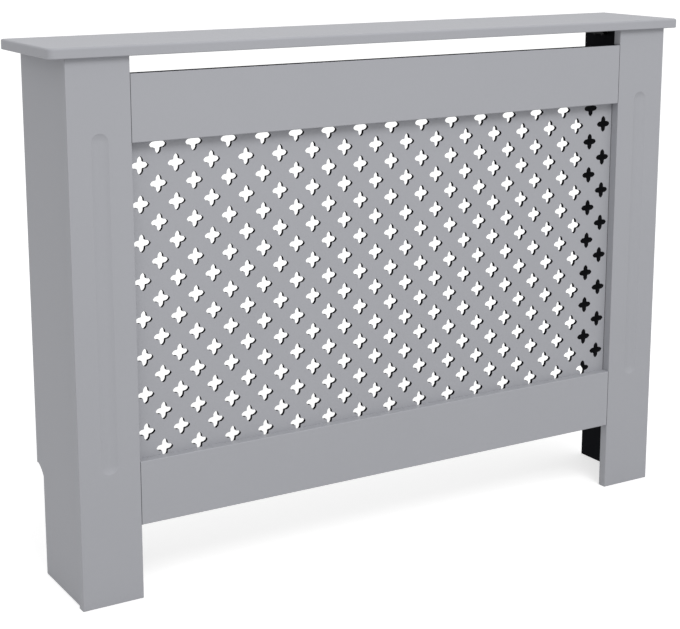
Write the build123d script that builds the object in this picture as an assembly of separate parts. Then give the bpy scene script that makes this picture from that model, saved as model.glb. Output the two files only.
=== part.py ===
# Radiator cover cabinet, in painted MDF board.
#
# Frame: +X to the right, +Y from the room towards the wall, +Z up. The origin lies on the floor,
# in the middle of the cabinet's width and of its depth. All sizes are in millimetres.
#
# Construction: two fluted stiles and two rails make the front frame, with a pierced sheet glued
# behind it. A deep side panel stands in a groove behind each stile, notched at the wall for the
# skirting board. The shelf sits on top on dowels and corner blocks, and two angle brackets tie
# the cabinet to the wall.

from build123d import *
import os

os.makedirs("parts", exist_ok=True)

# ---- Overall size ----
shelf_length = 1120.0          # end to end
shelf_depth = 190.0            # front edge to wall
cabinet_height = 815.0         # floor to the top of the shelf

# ---- Boards ----
shelf_thickness = 15.0
stile_thickness = 15.0         # stiles and rails are planed together, so their faces are flush
side_thickness = 15.0
grille_thickness = 6.0

# ---- Shelf ----
end_overhang = 25.0            # shelf beyond each stile's outer edge
front_overhang = 8.0           # shelf beyond the stiles' front
shelf_edge_radius = 3.0        # rounding of the upper edge, along the front and the two ends
shelf_corner_radius = 10.0     # the two front corners, seen from above

# ---- Front frame ----
stile_width = 95.0
top_rail_height = 97.0
bottom_rail_height = 97.0
warm_air_slot = 25.0           # between the shelf and the top rail
floor_gap = 114.0              # under the bottom rail
arris = 1.0                    # eased edges of the frame's front, and the shelf's lower edge
tenon_length = 10.0
tenon_thickness = 5.0
tenon_shoulder = 10.0          # rail above and below its tenon
tenon_clearance = 0.2          # all round a tenon, and at its end

# ---- Flute on each stile ----
flute_width = 26.0
flute_depth = 3.0
flute_foot = 200.0             # floor to the flute's lower end
flute_head = 105.0             # flute's upper end to the underside of the shelf

# ---- Side panels ----
side_reveal = 3.5              # stile's outer edge stands proud of the side panel
groove_depth = 3.0             # in the stile's back, for the side panel's front edge
notch_height = 172.0           # skirting notch, floor to its ledge
notch_depth = 26.0
notch_ledge = 6.0              # flat ledge at the top of the notch
notch_cove_drop = 15.0         # from the ledge down to the notch's straight front
notch_cove_radius = 38.0

# ---- Pierced sheet ----
grille_lap = 25.0              # sheet behind the rails and stiles, all round
hole_pitch = 56.25             # along a row and down a column; each row is offset by half of it
grid_lift = 1.5                # middle row of holes above the middle of the opening
hole_span = 26.5               # across two opposite lobes
lobe_tip = 4.3                 # flat at the end of a lobe
hole_waist = 9.4               # across the square core between the inner corners

# ---- Shelf dowels ----
dowel_diameter = 8.0
dowel_length = 25.0
dowel_in_shelf = 10.0          # the rest stands in the side panel
dowel_setback = 45.0           # centre to the stile's back, or to the wall
dowel_clearance = 0.5          # past each end of the dowel

# ---- Corner blocks ----
block_leg = 18.0               # the two faces that meet the boards
block_length = 40.0
block_bevel = 10.0             # across the block's free corner
shelf_block_setback = 20.0     # end of a block to the stile's back, or to the wall
stile_block_low = 60.0         # floor to the lowest block's foot
stile_block_high = 60.0        # highest block's head to the underside of the shelf

# ---- Wall brackets ----
bracket_leg = 32.0
bracket_width = 20.0
bracket_thickness = 2.0
bracket_drop = 45.0            # underside of the shelf to the bracket's top edge
bracket_hole_diameter = 5.5
bracket_hole_inset = 10.0      # hole centre to the end of its leg

overcut = 1.0                  # a cutter's reach past the open side of its cut

# ---- Places worked out from the sizes ----
wall_y = shelf_depth / 2
shelf_front_y = -shelf_depth / 2
frame_front_y = shelf_front_y + front_overhang
frame_back_y = frame_front_y + stile_thickness
shelf_under_z = cabinet_height - shelf_thickness
frame_half_width = shelf_length / 2 - end_overhang
opening_half_width = frame_half_width - stile_width
side_outer_x = frame_half_width - side_reveal
side_inner_x = side_outer_x - side_thickness
top_rail_top_z = shelf_under_z - warm_air_slot
opening_top_z = top_rail_top_z - top_rail_height
opening_foot_z = floor_gap + bottom_rail_height
opening_mid_z = (opening_top_z + opening_foot_z) / 2
opening_height = opening_top_z - opening_foot_z
rail_length = 2 * opening_half_width


def box(x, y, z):
    """A box from three (low, high) pairs."""
    size = Box(x[1] - x[0], y[1] - y[0], z[1] - z[0])
    return Pos((x[0] + x[1]) / 2, (y[0] + y[1]) / 2, (z[0] + z[1]) / 2) * size


def front_edges(part):
    """The edges round a frame board's front face."""
    return part.faces().sort_by(Axis.Y)[0].edges()


def dowel_places():
    """Centres of the four dowels, on the joint between the shelf and the side panels."""
    centre_x = side_inner_x + side_thickness / 2
    return [
        Pos(x, y, shelf_under_z)
        for x in (-centre_x, centre_x)
        for y in (frame_back_y + dowel_setback, wall_y - dowel_setback)
    ]


def dowel(extra=0.0):
    """One dowel, drawn with eight flats, or its hole when extra lengthens it past both ends."""
    length = dowel_length + 2 * extra
    section = RegularPolygon(dowel_diameter / 2, side_count=8, major_radius=False)
    foot = dowel_in_shelf - dowel_length - extra
    return Pos(0, 0, foot) * extrude(section, length)


def rim(board, level):
    """The shelf's lower (0) or upper (-1) edges, apart from the one at the wall."""
    wall_edges = board.faces().sort_by(Axis.Y)[-1].edges()
    edges = board.faces().sort_by(Axis.Z)[level].edges()
    return [edge for edge in edges if edge not in wall_edges]


def shelf():
    """The top board: round front corners, a soft upper edge, and blind dowel holes below."""
    board = box(
        (-shelf_length / 2, shelf_length / 2),
        (shelf_front_y, wall_y),
        (shelf_under_z, cabinet_height),
    )
    front_corners = board.edges().filter_by(Axis.Z).sort_by(Axis.Y)[:2]
    board = fillet(front_corners, shelf_corner_radius)
    board = fillet(rim(board, -1), min(shelf_edge_radius, shelf_thickness / 2))
    board = chamfer(rim(board, 0), arris)
    for place in dowel_places():
        board -= place * dowel(dowel_clearance)
    return board


def flute_cutter():
    """A long round-nosed cutter whose shallow cap leaves a flute with round ends."""
    half = flute_width / 2
    radius = (half**2 + flute_depth**2) / (2 * flute_depth)
    foot_z = flute_foot + half
    head_z = shelf_under_z - flute_head - half
    centre_y = frame_front_y + flute_depth - radius
    shaft = Pos(0, centre_y, foot_z) * extrude(Circle(radius), head_z - foot_z)
    ends = [Pos(0, centre_y, z) * Sphere(radius) for z in (foot_z, head_z)]
    return shaft + ends


def mortise(rail_foot_z, rail_height):
    """The slot in the right stile's inner edge for one rail's tenon."""
    middle_y = (frame_front_y + frame_back_y) / 2
    half_y = tenon_thickness / 2 + tenon_clearance
    return box(
        (opening_half_width - overcut, opening_half_width + tenon_length + tenon_clearance),
        (middle_y - half_y, middle_y + half_y),
        (
            rail_foot_z + tenon_shoulder - tenon_clearance,
            rail_foot_z + rail_height - tenon_shoulder + tenon_clearance,
        ),
    )


def stile():
    """The right stile: eased front edges, flute, two mortises and the side panel's groove."""
    board = box(
        (opening_half_width, frame_half_width),
        (frame_front_y, frame_back_y),
        (0, shelf_under_z),
    )
    board = chamfer(front_edges(board), arris)
    centre_x = (opening_half_width + frame_half_width) / 2
    board -= Pos(centre_x, 0, 0) * flute_cutter()
    board -= mortise(floor_gap, bottom_rail_height)
    board -= mortise(opening_top_z, top_rail_height)
    board -= box(
        (side_inner_x, side_outer_x),
        (frame_back_y - groove_depth, frame_back_y + overcut),
        (-overcut, shelf_under_z + overcut),
    )
    return board


def rail(foot_z, height):
    """A rail between the stiles, with a stub tenon at each end."""
    board = box(
        (-opening_half_width, opening_half_width),
        (frame_front_y, frame_back_y),
        (foot_z, foot_z + height),
    )
    board = chamfer(front_edges(board), arris)
    middle_y = (frame_front_y + frame_back_y) / 2
    tenons = box(
        (-opening_half_width - tenon_length, opening_half_width + tenon_length),
        (middle_y - tenon_thickness / 2, middle_y + tenon_thickness / 2),
        (foot_z + tenon_shoulder, foot_z + height - tenon_shoulder),
    )
    return board + tenons


def side_outline():
    """The side panel seen from the end, with its skirting notch, in the YZ plane."""
    front_y = frame_back_y - groove_depth
    notch_front_y = wall_y - notch_depth
    cove_top = (wall_y - notch_ledge, notch_height)
    cove_foot = (notch_front_y, notch_height - notch_cove_drop)
    straight = Polyline(
        cove_foot,
        (notch_front_y, 0),
        (front_y, 0),
        (front_y, shelf_under_z),
        (wall_y, shelf_under_z),
        (wall_y, notch_height),
        cove_top,
    )
    cove = RadiusArc(cove_top, cove_foot, -notch_cove_radius)
    return Plane.YZ * make_face(straight + cove)


def side_panel():
    """The right side panel, with blind dowel holes in its top edge."""
    panel = Pos(side_inner_x, 0, 0) * extrude(side_outline(), side_thickness)
    for place in dowel_places():
        panel -= place * dowel(dowel_clearance)
    return panel


def lobed_hole():
    """Outline of one four-lobed hole: each lobe tapers from the core to a blunt tip."""
    reach = hole_span / 2
    tip = lobe_tip / 2
    core = hole_waist / 2
    quarter = [(reach, tip), (core, core), (tip, reach)]
    points = []
    for turn in range(4):
        points += [Vector(x, y).rotate(Axis.Z, 90 * turn) for x, y in quarter]
    return Wire.make_polygon(points, close=True)


def hole_places():
    """Centres of the holes, as (x, z) from the middle of the opening, in a staggered grid."""
    half = hole_pitch / 2
    columns = int((opening_half_width - hole_span / 2) / half)
    rows = int(opening_height / 2 / half)
    return [
        (column * half, row * half + grid_lift)
        for column in range(-columns, columns + 1)
        for row in range(-rows, rows + 1)
        if (column + row) % 2 == 0
    ]


def grille():
    """The pierced sheet: one face with all its holes, given the sheet's thickness."""
    width = rail_length + 2 * grille_lap
    height = opening_height + 2 * grille_lap
    hole = lobed_hole()
    holes = [hole.moved(Location((x, z, 0))) for x, z in hole_places()]
    sheet = Face(Wire.make_rect(width, height), holes)
    upright = Plane(origin=(0, frame_back_y, opening_mid_z), x_dir=(1, 0, 0), z_dir=(0, -1, 0))
    return extrude(upright * sheet, grille_thickness, dir=(0, 1, 0))


def corner_block():
    """A corner block: two faces square to each other on -X and -Y, bevelled across the free corner."""
    section = Polyline(
        (0, 0),
        (block_leg, 0),
        (block_leg, block_leg - block_bevel),
        (block_leg - block_bevel, block_leg),
        (0, block_leg),
        close=True,
    )
    return extrude(make_face(section), block_length)


def stile_block(foot_z):
    """A block in the corner between the right stile's back and the side panel."""
    corner = Plane(origin=(side_inner_x, frame_back_y, foot_z), x_dir=(0, 1, 0), z_dir=(0, 0, 1))
    return corner * corner_block()


def shelf_block(rear_y):
    """A block in the corner between the shelf's underside and the right side panel."""
    corner = Plane(
        origin=(side_inner_x, rear_y, shelf_under_z),
        x_dir=(-1, 0, 0),
        z_dir=(0, -1, 0),
    )
    return corner * corner_block()


def wall_bracket():
    """The right angle bracket: one leg on the side panel, the other on the wall, with its hole."""
    top_z = shelf_under_z - bracket_drop
    foot_z = top_z - bracket_width
    side_leg = box(
        (side_inner_x - bracket_thickness, side_inner_x),
        (wall_y - bracket_leg, wall_y),
        (foot_z, top_z),
    )
    wall_leg = box(
        (side_inner_x - bracket_leg, side_inner_x),
        (wall_y - bracket_thickness, wall_y),
        (foot_z, top_z),
    )
    hole_x = side_inner_x - bracket_leg + bracket_hole_inset
    drill = Pos(hole_x, wall_y, (foot_z + top_z) / 2) * Rot(90, 0, 0)
    return side_leg + wall_leg - drill * Cylinder(bracket_hole_diameter / 2, 4 * bracket_thickness)


def save(name, part):
    """Writes one sub-part to its own file."""
    export_step(part, f"parts/{name}.step")
    volume = sum(solid.volume for solid in part.solids())
    print(f"{name:26s} {volume / 1000:9.1f} cm3")


def save_pair(name, part):
    """Writes a right-hand piece and its mirror image on the left; name holds {} for the side."""
    save(name.format("right"), part)
    save(name.format("left"), mirror(part, about=Plane.YZ))


save("shelf", shelf())
save("top_rail", rail(opening_top_z, top_rail_height))
save("bottom_rail", rail(floor_gap, bottom_rail_height))
save("grille", grille())
save("shelf_dowels", Compound(children=[place * dowel() for place in dowel_places()]))
save_pair("stile_{}", stile())
save_pair("side_panel_{}", side_panel())

high_block_foot_z = shelf_under_z - stile_block_high - block_length
save_pair("stile_block_{}_low", stile_block(stile_block_low))
save_pair("stile_block_{}_middle", stile_block((stile_block_low + high_block_foot_z) / 2))
save_pair("stile_block_{}_high", stile_block(high_block_foot_z))
save_pair("shelf_block_{}_front", shelf_block(frame_back_y + shelf_block_setback + block_length))
save_pair("shelf_block_{}_rear", shelf_block(wall_y - shelf_block_setback))

right_bracket = wall_bracket()
left_bracket = mirror(right_bracket, about=Plane.YZ)
save("wall_brackets", Compound(children=[right_bracket, left_bracket]))
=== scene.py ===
# %% [markdown]
# # A painted radiator cover cabinet
# The solids come from the CAD model, in metres, with +X to the right, +Y towards the wall
# and +Z up. This lesson dresses them: it paints the boards, cuts the pierced sheet with
# curved lobes, mills the flutes smooth, adds the small screws behind, and sets up a studio.
# We load the solids first, and note the box that they fill, because nothing that is added
# later may reach outside it.

# %% Load the solids
import bpy, bmesh, math
from mathutils import Matrix, Vector
from mathutils.geometry import delaunay_2d_cdt


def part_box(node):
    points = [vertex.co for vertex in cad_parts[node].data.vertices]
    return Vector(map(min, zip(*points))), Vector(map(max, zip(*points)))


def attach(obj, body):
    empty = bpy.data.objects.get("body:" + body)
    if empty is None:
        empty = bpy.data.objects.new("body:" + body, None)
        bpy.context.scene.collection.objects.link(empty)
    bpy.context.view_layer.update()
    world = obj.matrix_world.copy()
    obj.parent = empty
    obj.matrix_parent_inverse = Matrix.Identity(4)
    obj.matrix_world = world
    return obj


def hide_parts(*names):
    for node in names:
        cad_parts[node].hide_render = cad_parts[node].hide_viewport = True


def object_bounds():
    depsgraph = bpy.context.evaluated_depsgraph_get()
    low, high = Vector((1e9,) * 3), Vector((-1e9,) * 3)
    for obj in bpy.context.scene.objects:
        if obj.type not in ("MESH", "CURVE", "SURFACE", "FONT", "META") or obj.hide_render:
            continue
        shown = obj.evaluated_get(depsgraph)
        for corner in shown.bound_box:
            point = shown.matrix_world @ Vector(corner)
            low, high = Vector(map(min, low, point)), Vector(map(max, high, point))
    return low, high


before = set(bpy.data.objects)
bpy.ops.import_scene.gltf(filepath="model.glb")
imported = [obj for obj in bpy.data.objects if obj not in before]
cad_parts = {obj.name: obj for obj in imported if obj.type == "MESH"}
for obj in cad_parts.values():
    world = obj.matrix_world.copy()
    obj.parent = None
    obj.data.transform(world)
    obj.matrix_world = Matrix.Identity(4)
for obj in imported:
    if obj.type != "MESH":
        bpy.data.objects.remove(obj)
cad_low, cad_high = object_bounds()
MM = 0.001
cad_size = [round(v / MM) for v in cad_high - cad_low]
print("solids:", len(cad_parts), "box in mm:", cad_size)

# %% [markdown]
# ## Shader maths as Python expressions
# A finish is a picture that is computed at each point of the surface. Blender draws it as a
# graph of nodes, which is tiresome to write out, so a small class wraps the output of a node
# and lets us write `1 - mask` or `cloud * 0.02` in its place.

# %% Signals
class Signal:
    """What comes out of a shader node: a number, a colour or a vector at each point."""

    def __init__(self, finish, socket):
        self.finish = finish
        self.socket = socket

    def maths(self, operation, first, second=0.0):
        """Adds one Math node and returns what comes out of it."""
        sockets = {0: first, 1: second}
        return self.finish.add("ShaderNodeMath", {"operation": operation}, sockets).signal(0)

    def __add__(self, other):
        return self.maths("ADD", self, other)

    def __radd__(self, other):
        return self.maths("ADD", other, self)

    def __sub__(self, other):
        return self.maths("SUBTRACT", self, other)

    def __rsub__(self, other):
        return self.maths("SUBTRACT", other, self)

    def __mul__(self, other):
        return self.maths("MULTIPLY", self, other)

    def __rmul__(self, other):
        return self.maths("MULTIPLY", other, self)

    def __gt__(self, other):
        return self.maths("GREATER_THAN", self, other)

    def __lt__(self, other):
        return self.maths("LESS_THAN", self, other)

    def __abs__(self):
        return self.maths("ABSOLUTE", self)

    def between(self, low, high):
        """1 where the signal lies between low and high."""
        return (self > low) * (self < high)

    def near(self, value, reach):
        """1 within reach of value."""
        return abs(self - value) < reach


class Outputs:
    """A shader node that has been added, whose outputs are read by name or by place."""

    def __init__(self, finish, node):
        self.finish = finish
        self.node = node

    def signal(self, which):
        if isinstance(which, int):
            return Signal(self.finish, self.node.outputs[which])
        shown = [s for s in self.node.outputs if s.enabled and s.name == which]
        return Signal(self.finish, shown[0])


methods = [name.strip("_") for name, item in vars(Signal).items() if callable(item)]
print("methods of a signal:", ", ".join(methods))

# %% [markdown]
# ## A finish
# One material is one finish. Every node in it comes from the single method `add`, which takes
# the node's type, then its settings, then the values or signals for its sockets. The other
# methods are short names for the few nodes that this cabinet needs. Blender could also copy a
# ready material from a library, but building it here shows what each step does.

# %% A finish and its nodes
class Finish:
    """A material that is built from signals and ends in one Principled shader."""

    def __init__(self, name):
        self.material = bpy.data.materials.new(name)
        self.material.use_nodes = True
        self.tree = self.material.node_tree
        self.shader = self.tree.nodes["Principled BSDF"]

    def add(self, kind, settings=None, sockets=None):
        """Adds a node of any kind, sets it up, then feeds its sockets."""
        node = self.tree.nodes.new(kind)
        for name, value in (settings or {}).items():
            setattr(node, name, value)
        for name, value in (sockets or {}).items():
            self.feed(node, name, value)
        return Outputs(self, node)

    def feed(self, node, name, value):
        """Links a signal to a socket, or sets the socket to a constant."""
        if isinstance(name, int):
            socket = node.inputs[name]
        else:
            socket = [s for s in node.inputs if s.enabled and s.name == name][0]
        if isinstance(value, Signal):
            self.tree.links.new(value.socket, socket)
        else:
            socket.default_value = value

    def set(self, **sockets):
        """Sets or links the sockets of the Principled shader; Base_Color means Base Color."""
        for name, value in sockets.items():
            self.feed(self.shader, name.replace("_", " "), value)

    def place(self):
        """Where a point is, in metres, in the frame that all the pieces share."""
        return self.add("ShaderNodeTexCoord").signal("Object")

    def split(self, vector):
        """The x, y and z of a vector, as three signals."""
        parts = self.add("ShaderNodeSeparateXYZ", {}, {0: vector})
        return [parts.signal(axis) for axis in ("X", "Y", "Z")]

    def stretch(self, vector, scales):
        """The place with each axis scaled by its own number, to draw a noise out long."""
        sockets = {0: vector, 1: scales}
        return self.add("ShaderNodeVectorMath", {"operation": "MULTIPLY"}, sockets).signal(0)

    def noise(self, vector, scale=1.0, detail=2.0, rough=0.5):
        """A soft random number from 0 to 1; scale is how many bumps it has in a metre."""
        sockets = {"Vector": vector, "Scale": scale, "Detail": detail, "Roughness": rough}
        return self.add("ShaderNodeTexNoise", {"noise_dimensions": "3D"}, sockets).signal(0)

    def mix(self, factor, low, high):
        """A colour between low and high."""
        settings = {"data_type": "RGBA", "blend_type": "MIX"}
        sockets = {"Factor": factor, "A": low, "B": high}
        return self.add("ShaderNodeMix", settings, sockets).signal("Result")

    def bump(self, height, distance, strength=1.0):
        """Dents the surface by height times distance, in metres."""
        sockets = {"Height": height, "Distance": distance, "Strength": strength}
        self.set(Normal=self.add("ShaderNodeBump", {}, sockets).signal("Normal"))


def linear(red, green, blue):
    """A colour as a screen shows it (0 to 255), turned into the light that it reflects. The
    numbers are those of the sRGB curve: straight for the darkest tones, then a power."""
    parts = [value / 255 for value in (red, green, blue)]
    curve = [v / 12.92 if v <= 0.04045 else ((v + 0.055) / 1.055) ** 2.4 for v in parts]
    return (*curve, 1.0)


def shade(colour, amount):
    """The same colour, lighter or darker by a factor."""
    return (*[channel * amount for channel in colour[:3]], 1.0)


print("mid grey on screen reflects", round(linear(128, 128, 128)[0], 3))

# %% [markdown]
# ## Satin paint
# Every board that shows is MDF under sprayed satin paint, a mid grey with a breath of blue.
# Such paint is never quite flat: it has a fine orange peel about a millimetre across, and
# clouds where the coat is thicker. The inside faces are painted near-black as painted shade,
# so that the inside reads as unlit and nothing shows through the holes. Where two boards
# meet, a thin dark line of painted shade marks the bottom of the joint. One recipe serves all
# the
# boards: each passes one rule that marks where its inside gets painted shade and one that
# marks its painted joint lines, and both rules only look at where a point is.

# %% Satin paint
paint_grey = linear(168, 169, 174)
# Near-black painted shade for the inside faces, and a dark grey painted shade for the joint
# lines.
inside_shade_black = linear(15, 16, 20)
joint_shade_grey = shade(paint_grey, 0.3)
coat_change = 0.03
noise_middle = 0.5
clouds_per_metre = 5.0
grains_per_metre = 160.0
peel_per_metre = 900.0
peel_height = 0.04 * MM
satin_roughness = 0.44
dark_inside_extra_roughness = 0.35


def satin_paint(name, inside, joint_shade):
    """Paint for a board, with painted shade: near-black where the first rule holds and a dark
    line where the second does. Both rules take a place's x, y and z, and give 1 where they
    hold.
    """
    paint = Finish(name)
    place = paint.place()
    x, y, z = paint.split(place)
    cloud = paint.noise(place, clouds_per_metre, detail=3.0) - noise_middle
    grain = paint.noise(place, grains_per_metre, detail=3.0) - noise_middle
    peel = paint.noise(place, peel_per_metre)
    # Painted shade: 1 on the inside faces, which get near-black paint that is a little
    # rougher.
    shaded_inside = inside(x, y, z)
    darker, lighter = shade(paint_grey, 1 - coat_change), shade(paint_grey, 1 + coat_change)
    coat = paint.mix(noise_middle + cloud * 0.9 + grain * 0.35, darker, lighter)
    # Painted shade: a dark line at the joints, then near-black over the inside faces.
    coat_with_joint_shade = paint.mix(joint_shade(x, y, z), coat, joint_shade_grey)
    paint.set(Base_Color=paint.mix(shaded_inside, coat_with_joint_shade, inside_shade_black))
    uneven = cloud * 0.10 + grain * 0.08
    paint.set(Roughness=satin_roughness + uneven + shaded_inside * dark_inside_extra_roughness)
    paint.set(IOR=1.46, Specular_IOR_Level=0.07)
    paint.bump(peel + grain * 0.6, peel_height, strength=0.5)
    return paint.material


print("paint reflects", [round(v, 3) for v in paint_grey[:3]])

# %% [markdown]
# ## Where the boards lie
# The masks and the new pieces below are drawn to the solids' own faces, so we read those
# faces from the frame rather than type them in. If the CAD model changes, they follow. The
# skin is the tenth of a millimetre by which a mask reaches past a face, to be sure of it.

# %% Faces of the boards
frame_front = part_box("top_rail")[0].y
frame_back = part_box("top_rail")[1].y
opening_half, _, stile_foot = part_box("stile_right")[0]
frame_half, _, stile_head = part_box("stile_right")[1]
side_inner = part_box("side_panel_right")[0].x
side_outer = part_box("side_panel_right")[1].x
groove_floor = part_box("side_panel_right")[0].y
sheet_low, sheet_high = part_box("grille")
top_rail_spans = (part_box("top_rail")[0].z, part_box("top_rail")[1].z)
bottom_rail_spans = (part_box("bottom_rail")[0].z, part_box("bottom_rail")[1].z)
skin = 0.1 * MM
print("opening in mm:", round(2 * opening_half / MM), "by",
      round((top_rail_spans[0] - bottom_rail_spans[1]) / MM))

# %% [markdown]
# ## Where painted shade goes: the inside faces and the joint lines
# A mask is a number that is 1 where it holds and 0 elsewhere. Each rule here returns one.
# The same could be done with a second material slot and a list of faces, but a rule in
# space also reaches the walls of the holes, and it works on any mesh.

# %% Rules for the painted shade
# How far the painted joint shade reaches, and how deep the hole walls stay grey before the
# painted shade of the inside begins.
joint_reach = 0.8 * MM
joint_top = 0.4 * MM
joint_floor = 2.0 * MM
stile_line_reach = 1.4 * joint_reach
grey_rim_depth = 0.5 * MM


def nowhere(x, y, z):
    """For boards that have no joint."""
    return 0.0


def frame_painted_shade(x, y, z):
    """Painted shade on the frame's back, but for the lips outside the side panels, and on the
    top rail's top, under the shelf.
    """
    back = (y > frame_back - skin) * (abs(x) < side_outer)
    above = (z > top_rail_spans[1] - skin) * (abs(x) < opening_half)
    return (back + above) > 0.5  # either of the two


def frame_joint_shade(x, y, z):
    """Painted shade at the bottom of the fine V where a rail meets a stile."""
    beside_rail = z.between(*top_rail_spans) + z.between(*bottom_rail_spans)
    deep = y.between(frame_front + joint_top, frame_front + joint_floor)
    return abs(x).near(opening_half, joint_reach) * beside_rail * deep


def sheet_painted_shade(x, y, z):
    """Painted shade on the sheet's back, and on the walls of its holes behind a thin grey
    rim.
    """
    return y > frame_back + grey_rim_depth


def sheet_joint_shade(x, y, z):
    """A line of painted shade where the sheet goes behind a stile."""
    return abs(x).near(opening_half, stile_line_reach)


def sides_painted_shade(x, y, z):
    """Painted shade on the side panels' inner faces."""
    return abs(x) < side_inner + skin


def shelf_painted_shade(x, y, z):
    """Painted shade on the shelf's underside, inside the cabinet."""
    return (z < stile_head + skin) * (abs(x) < side_inner) * (y > frame_back)


def dress(node, material):
    """Gives a solid one material and leaves its shape alone."""
    node.data.materials.clear()
    node.data.materials.append(material)


frame_paint = satin_paint("frame_paint", frame_painted_shade, frame_joint_shade)
sheet_paint = satin_paint("sheet_paint", sheet_painted_shade, sheet_joint_shade)
side_paint = satin_paint("side_paint", sides_painted_shade, nowhere)
shelf_paint = satin_paint("shelf_paint", shelf_painted_shade, nowhere)
board_paints = {
    "shelf": shelf_paint,
    "top_rail": frame_paint,
    "bottom_rail": frame_paint,
    "side_panel_left": side_paint,
    "side_panel_right": side_paint,
}
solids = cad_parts
for name, paint in board_paints.items():
    dress(solids[name], paint)
print("boards painted:", len(board_paints))

# %% [markdown]
# ## Finishes of the hidden hardware
# Behind the boards sit beech dowels, nylon corner blocks and zinc plated steel. Beech has
# fine fibres along its length with short darker flecks, so its noise is stretched along Z.
# Moulded nylon is nearly even, with a faint sparked texture from the mould. Black nylon
# blocks are sold, and here their near-black also stands in for the shade behind the warm-air
# slot, so that they show as plain black there. Zinc plating is a soft metal shine, broken up
# by patches of crystals a few millimetres across; it is also sold dyed black, and the screws
# in the blocks are black so that they also stand in for that shade.

# %% Beech, nylon and zinc
fleck_threshold = 0.66


def beech_wood():
    wood = Finish("beech_wood")
    place = wood.place()
    fibre = wood.noise(wood.stretch(place, (900, 900, 40)), detail=3.0, rough=0.6)
    fleck = wood.noise(wood.stretch(place, (2200, 2200, 320))) > fleck_threshold
    pale = wood.mix(fibre, linear(196, 160, 121), linear(222, 190, 152))
    wood.set(Base_Color=wood.mix(fleck * 0.5, pale, linear(150, 108, 72)))
    wood.set(Roughness=0.55 + fibre * 0.2)
    wood.bump(fibre, 0.05 * MM)
    return wood.material


def moulded_nylon():
    nylon = Finish("moulded_nylon")
    place = nylon.place()
    cloudy = nylon.noise(place, scale=60.0)
    sparked = nylon.noise(place, scale=2500.0, detail=3.0)
    # Near-black nylon: a real colour, and also a stand-in for the shade behind the slot.
    nylon.set(Base_Color=nylon.mix(cloudy, linear(24, 24, 25), linear(34, 34, 35)))
    nylon.set(Roughness=0.5 + sparked * 0.18)
    nylon.set(IOR=1.53, Specular_IOR_Level=0.2)
    nylon.bump(sparked, 0.02 * MM)
    return nylon.material


def zinc_plate(name, dull, bright):
    zinc = Finish(name)
    place = zinc.place()
    crystals = zinc.noise(place, scale=420.0, detail=1.0)
    drawn = zinc.noise(zinc.stretch(place, (3000, 3000, 200)))
    zinc.set(Base_Color=zinc.mix(crystals, dull, bright))
    zinc.set(Metallic=1.0, Roughness=0.24 + crystals * 0.22 + drawn * 0.08)
    zinc.bump(drawn, 0.01 * MM)
    return zinc.material


beech = beech_wood()
nylon = moulded_nylon()
zinc = zinc_plate("zinc_plate", linear(160, 164, 169), linear(196, 199, 203))
# Black zinc: a real finish, used on the block screws also as a stand-in for the shade behind
# the slot.
black_zinc = zinc_plate("black_zinc", linear(22, 22, 24), linear(38, 38, 41))
dress(solids["shelf_dowels"], beech)
dress(solids["wall_brackets"], zinc)
block_names = sorted(name for name in solids if "_block_" in name)
for name in block_names:
    dress(solids[name], nylon)
print("blocks:", len(block_names))

# %% [markdown]
# ## Tools for building pieces
# The new pieces are written as meshes: flat faces with holes, and walls that run between
# loops of points. `fill` hands the outlines to Blender's triangulator, which covers the face
# all at once; that is quicker and cleaner than cutting the holes one by one with booleans.
# Each part of a mesh makes its own points, and `new_piece` welds those that meet.

# %% Fill a flat face round its holes
inside_outlines = 1  # the triangulator's name for "only what the outlines enclose"
same_point = 1e-9


def inside_loop(point, loop):
    """Whether a point lies inside a closed outline: count the edges that a ray crosses."""
    crossed = False
    for a, b in zip(loop, loop[1:] + loop[:1]):
        if (a.y > point.y) != (b.y > point.y):
            if point.x < a.x + (point.y - a.y) / (b.y - a.y) * (b.x - a.x):
                crossed = not crossed
    return crossed


def triangles_between(outer, holes):
    """Points and triangles of the flat face inside outer and outside every hole."""
    loops = [outer] + holes
    points = []
    edges = []
    owner = []
    for number, loop in enumerate(loops):
        first = len(points)
        points += loop
        owner += [number] * len(loop)
        edges += [(first + i, first + (i + 1) % len(loop)) for i in range(len(loop))]
    made, _, faces, *_ = delaunay_2d_cdt(points, edges, [], inside_outlines, same_point)
    kept = []
    for face in faces:
        owners = {owner[i] for i in face}
        if len(owners) == 1 and owners != {0}:
            centre = sum((made[i] for i in face), Vector((0, 0))) / 3
            if inside_loop(centre, loops[owners.pop()]):
                continue
        kept.append(face)
    return made, kept


def fill(sculpt, outer, holes, lift):
    """A flat face with holes; lift turns a point of the outlines into a place in space."""
    made, faces = triangles_between(outer, holes)
    corners = [sculpt.verts.new(lift(point)) for point in made]
    for face in faces:
        sculpt.faces.new([corners[i] for i in face])


square = [Vector(p) for p in ((0, 0), (1, 0), (1, 1), (0, 1))]
window = [Vector(p) for p in ((0.4, 0.4), (0.6, 0.4), (0.6, 0.6), (0.4, 0.6))]
_, window_triangles = triangles_between(square, [window])
print("a square with a window takes", len(window_triangles), "triangles")

# %% [markdown]
# ## Walls between loops
# A rounded edge, the wall of a hole and the hollow of a flute are all the same thing to a
# mesh: rows of quads between loops of as many points. They are shaded smooth, and edges that
# turn by more than 40 degrees stay crisp. Flat faces stay flat, so the round edges beside
# them don't bend their shading.

# %% Walls, welding and new pieces
crisp_angle = math.radians(40)
weld_reach = 0.001 * MM


def walls(sculpt, loops):
    """Smooth quads between closed loops of as many places each."""
    rows = [[sculpt.verts.new(place) for place in loop] for loop in loops]
    for first, second in zip(rows, rows[1:]):
        for i in range(len(first)):
            j = (i + 1) % len(first)
            sculpt.faces.new((first[i], first[j], second[j], second[i])).smooth = True


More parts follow.
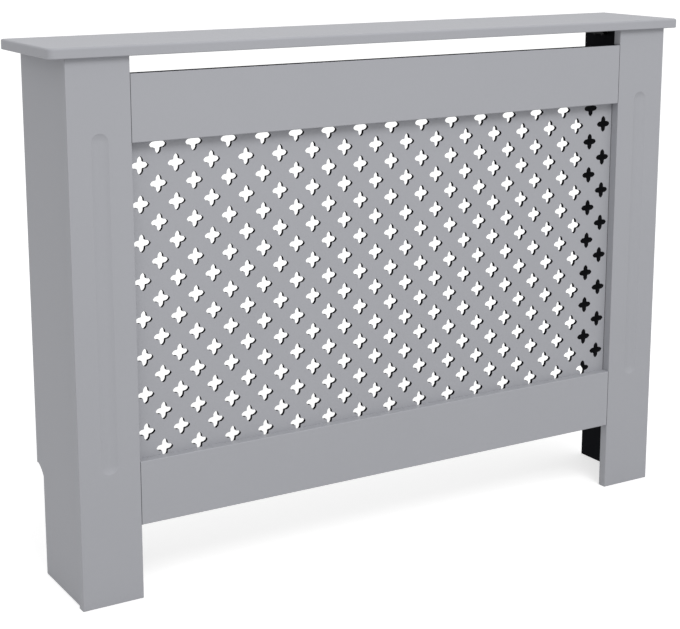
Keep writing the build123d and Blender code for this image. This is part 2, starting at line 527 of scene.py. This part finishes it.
def face_on(sculpt, places, smooth=False):
    """One face on a list of places."""
    sculpt.faces.new([sculpt.verts.new(place) for place in places]).smooth = smooth


def new_object(name, data):
    """An object that holds a mesh, a light or a camera, put into the scene."""
    made = bpy.data.objects.new(name, data)
    bpy.context.scene.collection.objects.link(made)
    return made


def new_piece(name, material, mesh_maker):
    """A welded mesh that rides on the cabinet's one body."""
    sculpt = bmesh.new()
    mesh_maker(sculpt)
    bmesh.ops.remove_doubles(sculpt, verts=sculpt.verts, dist=weld_reach)
    bmesh.ops.recalc_face_normals(sculpt, faces=sculpt.faces)
    open_edges = [edge for edge in sculpt.edges if len(edge.link_faces) != 2]
    for edge in set(sculpt.edges) - set(open_edges):
        edge.smooth = edge.calc_face_angle() < crisp_angle
    mesh = bpy.data.meshes.new(name)
    sculpt.to_mesh(mesh)
    print(name, len(mesh.polygons), "faces", len(open_edges), "open edges")
    sculpt.free()
    mesh.materials.append(material)
    piece = new_object(name, mesh)
    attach(piece, "root")
    return piece


def grown(loop, distance):
    """The same outline moved outwards all round; the points run anticlockwise."""
    made = []
    for before, point, after in zip(loop[-1:] + loop[:-1], loop, loop[1:] + loop[:1]):
        run_in = (point - before).normalized()
        run_out = (after - point).normalized()
        along = (run_in + run_out).normalized()
        outwards = Vector((along.y, -along.x))
        made.append(point + outwards * distance / along.dot(run_out))
    return made


def rounded_edge(outline, front_y, radius, steps, growth):
    """Loops round an outline in a front face, from the face to where the rounding ends.
    growth is 1 for the outer edge of a board and -1 for the edge of a hole."""
    loops = []
    for step in range(steps + 1):
        angle = math.pi / 2 * step / steps
        shrink = radius * (1 - math.sin(angle))
        depth = radius * (1 - math.cos(angle))
        around = grown(outline, -growth * shrink)
        loops.append([Vector((p.x, front_y + depth, p.y)) for p in around])
    return loops


print("a corner of the square moves by", round((grown(square, 0.1)[0] - square[0]).length, 3))

# %% [markdown]
# ## One lobed hole
# The most skilful part of the real cabinet is its pierced sheet: thin board, cut through by a
# router in a staggered grid of four-lobed crosses. Each lobe widens a little from the middle,
# then closes in a blunt point. One half of a lobe takes two short curves; mirrored and turned
# it makes the whole outline, so the cross comes out perfectly even.

# %% One lobed outline
tip = Vector((13.4, 0)) * MM
tip_pull = Vector((11.9, 3.6)) * MM
shoulder = Vector((8.3, 4.4)) * MM
flank = Vector((6.1, 4.5)) * MM
corner_pull = Vector((4.5, 4.5)) * MM
tip_steps = 4


def bend(start, pull, end, share):
    """A point on the curve from start to end that is drawn towards pull."""
    return start * (1 - share) ** 2 + pull * 2 * share * (1 - share) + end * share**2


def lobed_outline():
    """Points round one hole, anticlockwise from the right-hand tip."""
    shares = [step / tip_steps for step in range(tip_steps + 1)]
    rising = [bend(tip, tip_pull, shoulder, share) for share in shares]
    rising.append(flank)
    corner = bend(flank, corner_pull, flank.yx, share=0.5)
    quarter = rising + [corner] + [point.yx for point in reversed(rising[1:])]
    outline = []
    for turn in range(4):
        outline += [Matrix.Rotation(turn * math.pi / 2, 2) @ point for point in quarter]
    return outline


lobes = lobed_outline()
print("points round a hole:", len(lobes))

# %% [markdown]
# ## The grid of holes
# Counting across the sheet gives 31 columns, alternately with nine and eight holes. Every
# second place of a grid with half the pitch is cut. Its middle row stands a hair above the
# middle of the opening, so the top rail hides a little more of its row than the bottom rail.

# %% Where the holes lie
half_pitch = 56.25 / 2 * MM
grid_lift = 1.5 * MM
grid_middle = (bottom_rail_spans[1] + top_rail_spans[0]) / 2 + grid_lift
columns = int((opening_half - tip.x) / half_pitch)
rows = int((top_rail_spans[0] - bottom_rail_spans[1]) / 2 / half_pitch)
hole_centres = [
    Vector((column * half_pitch, grid_middle + row * half_pitch))
    for column in range(-columns, columns + 1)
    for row in range(-rows, rows + 1)
    if (column + row) % 2 == 0
]
print("holes:", len(hole_centres))

# %% [markdown]
# ## The pierced sheet
# The sheet is two filled faces joined by the walls of 263 holes. A real router leaves a crisp
# edge that the paint rounds off a little, so each hole gets a fine eased edge in front. It
# takes the place of the CAD sheet, whose holes are drawn with straight edges.

# %% Build the sheet
sheet_edge = 0.3 * MM


def rectangle(x, z):
    """A rectangle from two (low, high) pairs, anticlockwise."""
    return [Vector(p) for p in ((x[0], z[0]), (x[1], z[0]), (x[1], z[1]), (x[0], z[1]))]


def sheet_mesh(sculpt):
    margin = rectangle((sheet_low.x, sheet_high.x), (sheet_low.z, sheet_high.z))
    holes = [[centre + point for point in lobes] for centre in hole_centres]
    wide_holes = [grown(hole, sheet_edge) for hole in holes]
    fill(sculpt, margin, wide_holes, lambda p: (p.x, sheet_low.y, p.y))
    fill(sculpt, margin, holes, lambda p: (p.x, sheet_high.y, p.y))
    walls(sculpt, [[(p.x, y, p.y) for p in margin] for y in (sheet_low.y, sheet_high.y)])
    for hole in holes:
        eased = rounded_edge(hole, sheet_low.y, sheet_edge, steps=1, growth=-1)
        walls(sculpt, eased + [[(p.x, sheet_high.y, p.y) for p in hole]])


pierced_sheet = new_piece("pierced_sheet", sheet_paint, sheet_mesh)
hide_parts("grille")

# %% [markdown]
# ## The fluted stiles
# Each stile has one shallow flute, run with a large round-nosed cutter that is lowered in and
# lifted out, so that both ends are round as well. Its hollow is part of a cylinder with part
# of a ball at each end, and so it can be drawn as nested loops: the further in, the narrower
# and the deeper. The stile's front edges are rounded by a millimetre. The back has the groove
# for the side panel, and the inner edge has the two mortises for the rails' tenons.

# %% Sizes of a stile
edge_radius = 1.0 * MM
edge_steps = 4
flute_half = 13.0 * MM
flute_depth = 3.0 * MM
flute_foot = 200.0 * MM
flute_head = stile_head - 105.0 * MM
flute_rings = 7
end_steps = 14
tenon_half = 2.7 * MM
tenon_reach = 10.2 * MM
tenon_shoulder = 9.8 * MM
ball_radius = (flute_half**2 + flute_depth**2) / (2 * flute_depth)
print("the flute's cutter has a radius of", round(ball_radius / MM, 1), "mm")

# %% [markdown]
# ## The front of a stile
# The outlines are drawn for the right-hand stile, and the left one is its mirror image: only
# the sign of x changes, which is what `placed` sees to. The front is made of three things,
# one inside the other: the rounded edge, the flat face, and the flute, whose loops go in and
# down like the path of the cutter.

# %% The front of a stile
middle_x = (opening_half + frame_half) / 2
flute_ends = (flute_foot + flute_half, flute_head - flute_half)


def slot_outline(x, foot, head, radius):
    """A slot with round ends, anticlockwise."""
    points = []
    for centre_z, start in ((foot, math.pi), (head, 0.0)):
        for step in range(end_steps + 1):
            angle = start + math.pi * step / end_steps
            across, up = radius * math.cos(angle), radius * math.sin(angle)
            points.append(Vector((x + across, centre_z + up)))
    return points


def flute_loops():
    """Loops in space from the flute's mouth down to its floor."""
    steep = math.asin(flute_half / ball_radius)
    loops = []
    for ring in range(flute_rings):
        angle = steep * (1 - ring / flute_rings)
        sunk = ball_radius * math.cos(angle) - (ball_radius - flute_depth)
        outline = slot_outline(middle_x, *flute_ends, ball_radius * math.sin(angle))
        loops.append([(p.x, frame_front + sunk, p.y) for p in outline])
    return loops


def stile_front(sculpt, placed):
    """The rounded edge, the flute and the flat face between them."""
    outline = rectangle((opening_half, frame_half), (stile_foot, stile_head))
    edge = rounded_edge(outline, frame_front, edge_radius, edge_steps, growth=1)
    walls(sculpt, [[placed(*place) for place in loop] for loop in edge])
    rings = [[placed(*place) for place in loop] for loop in flute_loops()]
    walls(sculpt, rings)
    face_on(sculpt, rings[-1], smooth=True)
    mouth = slot_outline(middle_x, *flute_ends, flute_half)
    face = grown(outline, -edge_radius)
    fill(sculpt, face, [mouth], lambda p: placed(p.x, frame_front, p.y))


print("a flute has", len(flute_loops()), "loops of", len(flute_loops()[0]), "points")

# %% [markdown]
# ## The back of a stile
# The other long faces follow the stile's cross-section, point by point, with the groove for
# the side panel. The inner edge is a filled face with a mortise for each rail, and the two
# ends are the cross-section itself, filled.

# %% The back of a stile
middle_y = (frame_front + frame_back) / 2
lip_y = frame_front + edge_radius
stile_section = [
    (opening_half, lip_y), (frame_half, lip_y), (frame_half, frame_back),
    (side_outer, frame_back), (side_outer, groove_floor), (side_inner, groove_floor),
    (side_inner, frame_back), (opening_half, frame_back),
]


def stile_inner_edge(sculpt, placed):
    """The edge that meets the rails, with its two mortises."""
    thickness = (middle_y - tenon_half, middle_y + tenon_half)
    mortises = [
        rectangle(thickness, (spans[0] + tenon_shoulder, spans[1] - tenon_shoulder))
        for spans in (bottom_rail_spans, top_rail_spans)
    ]
    edge = rectangle((lip_y, frame_back), (stile_foot, stile_head))
    fill(sculpt, edge, mortises, lambda p: placed(opening_half, p.x, p.y))
    for mortise in mortises:
        mouth = [placed(opening_half, p.x, p.y) for p in mortise]
        floor = [placed(opening_half + tenon_reach, p.x, p.y) for p in mortise]
        walls(sculpt, [mouth, floor])
        face_on(sculpt, floor)


def stile_back(sculpt, placed):
    """The long faces behind the front, and both ends."""
    for (x1, y1), (x2, y2) in zip(stile_section[1:], stile_section[2:]):
        foot = [placed(x1, y1, stile_foot), placed(x2, y2, stile_foot)]
        head = [placed(x2, y2, stile_head), placed(x1, y1, stile_head)]
        face_on(sculpt, foot + head)
    for z in (stile_foot, stile_head):
        outline = [Vector(p) for p in stile_section]
        fill(sculpt, outline, [], lambda p: placed(p.x, p.y, z))


def stile_mesh(side):
    """The mesh maker of one stile; side is 1 for the right and -1 for the left."""
    def placed(x, y, z):
        return (side * x, y, z)

    def make(sculpt):
        stile_front(sculpt, placed)
        stile_inner_edge(sculpt, placed)
        stile_back(sculpt, placed)

    return make


for side_name, side in (("right", 1), ("left", -1)):
    name = "fluted_stile_" + side_name
    fluted_stile = new_piece(name, frame_paint, stile_mesh(side))
    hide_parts("stile_" + side_name)

# %% [markdown]
# ## Screws
# Flat-pack covers like this go together with small pan-head screws. Only the heads show, on
# the blocks, the brackets and the sheet's back margin, so only heads are drawn: a low dome
# with a cross recess. The dome is a few rings turned round an axis, each a share of the
# head's radius at a share of its height. Its top is a filled face with a cross-shaped hole,
# and the recess narrows as it goes down, like a real driver's bit.

# %% One screw head
head_radius = 3.3 * MM
head_height = 2.2 * MM
head_steps = 20
recess_reach = 1.7 * MM
recess_half = 0.45 * MM
recess_depth = 1.4 * MM
recess_floor_shares = (0.6, 0.7)
dome = ((1.0, 0.0), (1.0, 0.35), (0.94, 0.62), (0.82, 0.85), (0.66, 1.0))


def circle(radius):
    turns = [2 * math.pi * step / head_steps for step in range(head_steps)]
    return [Vector((radius * math.cos(turn), radius * math.sin(turn))) for turn in turns]


def cross(reach, half):
    """A plus sign, anticlockwise."""
    points = []
    for turn in range(4):
        spin = Matrix.Rotation(turn * math.pi / 2, 2)
        points += [spin @ Vector(p) for p in ((reach, -half), (reach, half), (half, half))]
    return points


def add_head(sculpt, seat, facing, spin):
    """A screw head on a seat, that faces the given way and is turned by spin."""
    turn = Matrix.Rotation(spin, 4, "Z")
    upright = facing.to_track_quat("Z", "Y").to_matrix().to_4x4()
    stand = Matrix.Translation(seat) @ upright @ turn

    def at(point, height):
        return stand @ Vector((point.x, point.y, height))

    circles = [(circle(head_radius * wide), head_height * up) for wide, up in dome]
    rings = [[at(p, height) for p in ring] for ring, height in circles]
    walls(sculpt, rings)
    face_on(sculpt, rings[0])
    mouth = cross(recess_reach, recess_half)
    fill(sculpt, circles[-1][0], [mouth], lambda p: at(p, head_height))
    reach_share, half_share = recess_floor_shares
    floor = cross(recess_reach * reach_share, recess_half * half_share)
    bottom = [at(p, head_height - recess_depth) for p in floor]
    walls(sculpt, [[at(p, head_height) for p in mouth], bottom])
    face_on(sculpt, bottom)


print("points in a recess:", len(cross(recess_reach, recess_half)))

# %% [markdown]
# ## Screws in the corner blocks
# Each block has two screws into the board on one side and two into the other, staggered along
# its length so that they pass each other. Their seats are the two narrow free faces that the
# block's bevel leaves, and these are found from the box of each block.

# %% Screws in the corner blocks
block_face = 8.0 * MM
first_pair = (0.2, 0.7)
second_pair = (0.3, 0.8)
turn_per_screw = 0.9
behind = Vector((0, 1, 0))
below = Vector((0, 0, -1))


def between(low, high, shares):
    """Places at the given shares of the way from low to high."""
    return [low + share * (high - low) for share in shares]


def block_seats(name):
    """(seat, facing) of the four screws of one block."""
    low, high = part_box(name)
    side, panel_x, free_x = (1, high.x, low.x) if low.x > 0 else (-1, low.x, high.x)
    across_x = panel_x - side * block_face / 2
    sideways = Vector((-side, 0, 0))
    seats = []
    if name.startswith("stile"):
        for z in between(low.z, high.z, first_pair):
            seats.append((Vector((across_x, high.y, z)), behind))
        for z in between(low.z, high.z, second_pair):
            seats.append((Vector((free_x, low.y + block_face / 2, z)), sideways))
    else:
        for y in between(low.y, high.y, first_pair):
            seats.append((Vector((across_x, y, low.z)), below))
        for y in between(low.y, high.y, second_pair):
            seats.append((Vector((free_x, y, high.z - block_face / 2)), sideways))
    return seats


def screws_mesh(seats):
    """The mesh maker of a set of screws, each turned a little further than the last."""
    def make(sculpt):
        for number, (seat, facing) in enumerate(seats):
            add_head(sculpt, seat, facing, number * turn_per_screw)

    return make


seats = [seat for name in block_names for seat in block_seats(name)]
new_piece("block_screws", black_zinc, screws_mesh(seats))

# %% [markdown]
# ## Screws in the sheet and the brackets
# The sheet's margin laps behind the frame by 25 mm, and a row of screws runs down the middle
# of that lap. Each wall bracket has one screw into its side panel; its other leg keeps an
# open hole for the wall screw.

# %% Screws in the sheet and the brackets
lap_middle = 12.5 * MM
screws_across = 7
screws_up = 4
bracket_inset = 10.0 * MM
bracket_thickness = 2.0 * MM


def spread(low, high, count):
    """count places from low to high, both included."""
    return [low + (high - low) * step / (count - 1) for step in range(count)]


right_x = sheet_high.x - lap_middle
low_z, high_z = sheet_low.z + lap_middle, sheet_high.z - lap_middle
sheet_seats = [
    (Vector((x, sheet_high.y, z)), behind)
    for z in (low_z, high_z)
    for x in spread(-right_x, right_x, screws_across)
]
sheet_seats += [
    (Vector((x, sheet_high.y, z)), behind)
    for x in (-right_x, right_x)
    for z in spread(low_z, high_z, screws_up)[1:-1]
]
new_piece("sheet_screws", zinc, screws_mesh(sheet_seats))

bracket_low, bracket_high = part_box("wall_brackets")
bracket_x = bracket_high.x - bracket_thickness
bracket_y = bracket_low.y + bracket_inset
bracket_z = (bracket_low.z + bracket_high.z) / 2
bracket_seats = [
    (Vector((side * bracket_x, bracket_y, bracket_z)), Vector((-side, 0, 0)))
    for side in (1, -1)
]
new_piece("bracket_screws", zinc, screws_mesh(bracket_seats))

# %% [markdown]
# ## The floor
# A cabinet like this is photographed on a seamless white floor. A wide plain floor, just a
# hair below the feet, catches the soft shadow and throws light back up under the shelf. The
# camera sees it brighter than it lights the cabinet, so that it fades into the white
# background and its shadow stays faint. Light Path tells the shader which rays are the
# camera's, and which come back from something shiny.

# %% Floor
floor_half = 30.0
floor_drop = 0.5 * MM
floor_grey = 0.64
floor_lift = 0.6
floor_mesh = bpy.data.meshes.new("studio_floor")
floor_outline = rectangle((-floor_half, floor_half), (-floor_half, floor_half))
floor_corners = [(p.x, p.y, -floor_drop) for p in floor_outline]
floor_mesh.from_pydata(floor_corners, [], [(0, 1, 2, 3)])
studio_floor = new_object("studio_floor", floor_mesh)
floor_finish = Finish("studio_floor")
floor_rays = floor_finish.add("ShaderNodeLightPath")
floor_seen = floor_rays.signal("Is Camera Ray") + floor_rays.signal("Is Glossy Ray")
floor_finish.set(Base_Color=(*[floor_grey] * 3, 1.0), Roughness=0.9, Specular_IOR_Level=0.0)
floor_finish.set(Emission_Color=floor_seen * floor_lift, Emission_Strength=1.0)
dress(studio_floor, floor_finish.material)
print("floor in m:", 2 * floor_half)

# %% [markdown]
# ## The sky
# An even sky stands in for the large soft boxes of a photo studio. The camera sees it as
# plain white, which is what the photo shows behind the cabinet and through its holes, and so
# does anything shiny that mirrors it.

# %% Sky
sky_level = 0.79
world = bpy.data.worlds.new("studio_sky")
world.use_nodes = True
bpy.context.scene.world = world
nodes, links = world.node_tree.nodes, world.node_tree.links
nodes.clear()
rays = nodes.new("ShaderNodeLightPath")
soft_sky = nodes.new("ShaderNodeBackground")
white_sky = nodes.new("ShaderNodeBackground")
seen_or_mirrored = nodes.new("ShaderNodeMath")
choose = nodes.new("ShaderNodeMixShader")
out = nodes.new("ShaderNodeOutputWorld")
for sky, level in ((soft_sky, sky_level), (white_sky, 1.0)):
    sky.inputs["Strength"].default_value = level
    sky.inputs["Color"].default_value = (1, 1, 1, 1)
links.new(rays.outputs["Is Camera Ray"], seen_or_mirrored.inputs[0])
links.new(rays.outputs["Is Glossy Ray"], seen_or_mirrored.inputs[1])
links.new(seen_or_mirrored.outputs[0], choose.inputs[0])
links.new(soft_sky.outputs[0], choose.inputs[1])
links.new(white_sky.outputs[0], choose.inputs[2])
links.new(choose.outputs[0], out.inputs["Surface"])
print("sky level:", sky_level)

# %% [markdown]
# ## The main light
# The shelf is the brightest face in the photo and the left side the darkest, and the fronts
# grow a little darker towards the floor. So the main light hangs a few metres off rather than
# far away like a sun: a large soft box, high in front of the cabinet and near its middle. The
# camera doesn't see the box itself.

# %% Soft box
box_width = 1.6
box_watts = 62.0
box_place = Vector((-0.25, -2.8, 3.5))
box_aim = Vector((0, 0, 0.5))


def stand_and_aim(thing, place, aim):
    """Stands a light or a camera at a place and turns it towards what it is aimed at."""
    thing.location = place
    thing.rotation_mode = "QUATERNION"
    thing.rotation_quaternion = (aim - place).to_track_quat("-Z", "Y")


box_data = bpy.data.lights.new("soft_box", "AREA")
box_data.shape = "SQUARE"
box_data.size = box_width
box_data.energy = box_watts
soft_box = new_object("soft_box", box_data)
stand_and_aim(soft_box, box_place, box_aim)
soft_box.visible_camera = False
print("soft box", box_width, "m wide,", round((box_aim - box_place).length, 2), "m away")

# %% [markdown]
# ## The camera
# The camera's place and lens were found by fitting the edges of the boards and the grid of
# holes to the photo. It stands to the left of the cabinet, a little above the shelf, and
# looks slightly down. The lens is shifted a little, to frame the cabinet as the photo does.
# The Standard view transform shows each colour as it was written.

# %% Camera
camera_place = Vector((-1.3012, -2.0882, 1.0000))
camera_aim = Vector((-0.1026, -0.087, 0.5199))
focal_pixels = 1567.5
picture_width = 680
sensor_width = 36.0
lens_shift = -0.125
camera_data = bpy.data.cameras.new("photo_camera")
camera_data.sensor_width = sensor_width
camera_data.lens = focal_pixels / picture_width * sensor_width
camera_data.shift_y = lens_shift
photo_camera = new_object("photo_camera", camera_data)
stand_and_aim(photo_camera, camera_place, camera_aim)
bpy.context.scene.camera = photo_camera
bpy.context.scene.view_settings.view_transform = "Standard"
print("lens in mm:", round(camera_data.lens, 1))

# %% [markdown]
